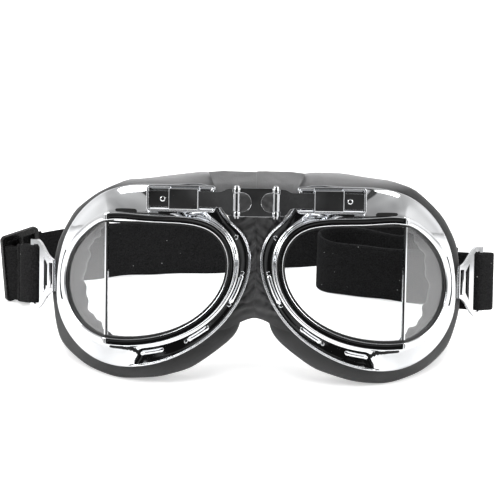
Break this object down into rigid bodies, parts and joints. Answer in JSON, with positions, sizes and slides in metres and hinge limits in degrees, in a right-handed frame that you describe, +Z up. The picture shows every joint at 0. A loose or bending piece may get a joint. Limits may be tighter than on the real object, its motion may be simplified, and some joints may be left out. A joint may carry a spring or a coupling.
{
  "type": "motorcycle goggles",
  "caption": "Folding motorcycle goggles with chrome frames, angled front and side lenses, padded leather face cushions, a hinged nose bridge and an elastic head strap with a slide buckle.",
  "frame": {"origin": "centre of the bounding box, on the surface the goggles stand on", "axes": "+X to the viewer's right across both lenses, +Y from the lenses back towards the strap, +Z up"},
  "size_m": [0.2437, 0.138, 0.0909],
  "materials": {
    "chrome": "polished",
    "gasket": "satin",
    "clear_pane": "clear, polished",
    "grey_pane": "grey tint, polished",
    "leather": "matte, fine grain",
    "webbing": "woven elastic",
    "slider_plastic": "glossy black"
  },
  "bodies": {
    "bridge": {"bridge_plate": "chrome", "left_hinge_pin": "chrome", "right_hinge_pin": "chrome", "nose_leather": "leather", "strap_back": "webbing", "strap_slider_weave": "webbing", "strap_right_run": "webbing", "strap_left_run": "webbing", "slider": "slider_plastic"},
    "left_eye": {"left_frame": "chrome", "left_bezel": "chrome", "left_gasket": "gasket", "left_mullion": "chrome", "left_front_pane": "clear_pane", "left_side_pane": "grey_pane", "left_cushion": "leather", "left_arm": "chrome", "left_keeper": "chrome", "left_arm_rivet": "chrome"},
    "right_eye": {"right_frame": "chrome", "right_bezel": "chrome", "right_gasket": "gasket", "right_mullion": "chrome", "right_front_pane": "clear_pane", "right_side_pane": "grey_pane", "right_cushion": "leather", "right_arm": "chrome", "right_keeper": "chrome", "right_arm_rivet": "chrome"},
    "left_bracket": {"left_strap_bracket": "chrome", "left_strap_loop": "webbing"},
    "right_bracket": {"right_strap_bracket": "chrome", "right_strap_loop": "webbing"}
  },
  "joints": [
    {"name": "left_eye_hinge", "type": "hinge", "parent": "bridge", "child": "left_eye", "pos_m": [0.0004, -0.047, 0.0837], "axis": [0, -0.3746, -0.9272], "range_deg": [-10, 8], "deforming": ["nose_leather", "strap_left_run", "left_strap_loop"]},
    {"name": "right_eye_hinge", "type": "hinge", "parent": "bridge", "child": "right_eye", "pos_m": [0.0176, -0.047, 0.0837], "axis": [0, 0.3746, 0.9272], "range_deg": [-10, 8], "deforming": ["nose_leather", "strap_right_run", "right_strap_loop"]},
    {"name": "left_bracket_hinge", "type": "hinge", "parent": "left_eye", "child": "left_bracket", "pos_m": [-0.0865, -0.0245, 0.0352], "axis": [0, -0.3746, -0.9272], "range_deg": [-20, 12], "deforming": ["left_strap_loop", "strap_left_run"]},
    {"name": "right_bracket_hinge", "type": "hinge", "parent": "right_eye", "child": "right_bracket", "pos_m": [0.1045, -0.0245, 0.0352], "axis": [0, 0.3746, 0.9272], "range_deg": [-20, 12], "deforming": ["right_strap_loop", "strap_right_run"]}
  ]
}
